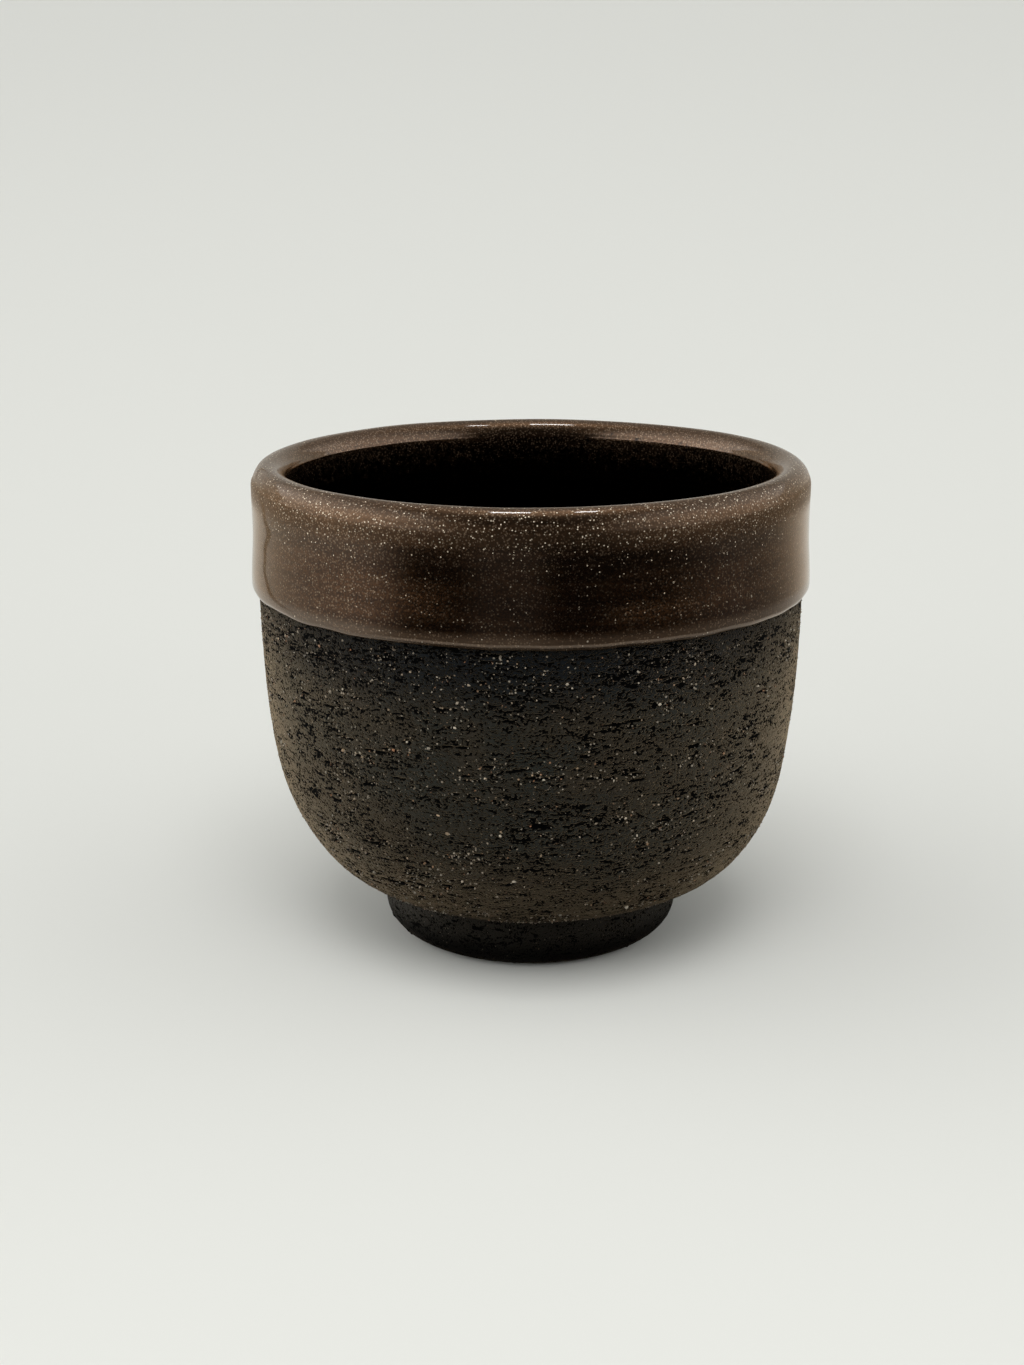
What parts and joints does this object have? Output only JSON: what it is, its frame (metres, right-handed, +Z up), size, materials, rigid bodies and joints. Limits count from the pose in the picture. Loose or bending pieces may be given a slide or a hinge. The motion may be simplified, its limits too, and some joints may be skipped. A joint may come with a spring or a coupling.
{
  "type": "guinomi sake cup",
  "caption": "Small handleless stoneware sake cup: round-bellied bare clay bowl on a ring foot, with a speckled brown glaze lining and a dipped glaze band over a round lip.",
  "frame": {"origin": "centre of the flat ring that the foot rests on, on the table", "axes": "+Z up along the turning axis; the cup is round, and the picture looks along +Y with +X to its right"},
  "size_m": [0.0666, 0.0666, 0.0582],
  "materials": {
    "bare_clay": "matt, coarse, with pale grains and short torn turning marks",
    "inside_glaze": "glossy dark brown with fine tan speckles",
    "rim_glaze": "glossy dark brown with fine tan speckles"
  },
  "bodies": {
    "root": {"foot_ring": "bare_clay", "bowl": "bare_clay", "inside_glaze": "inside_glaze", "rim_glaze": "rim_glaze"}
  },
  "joints": []
}
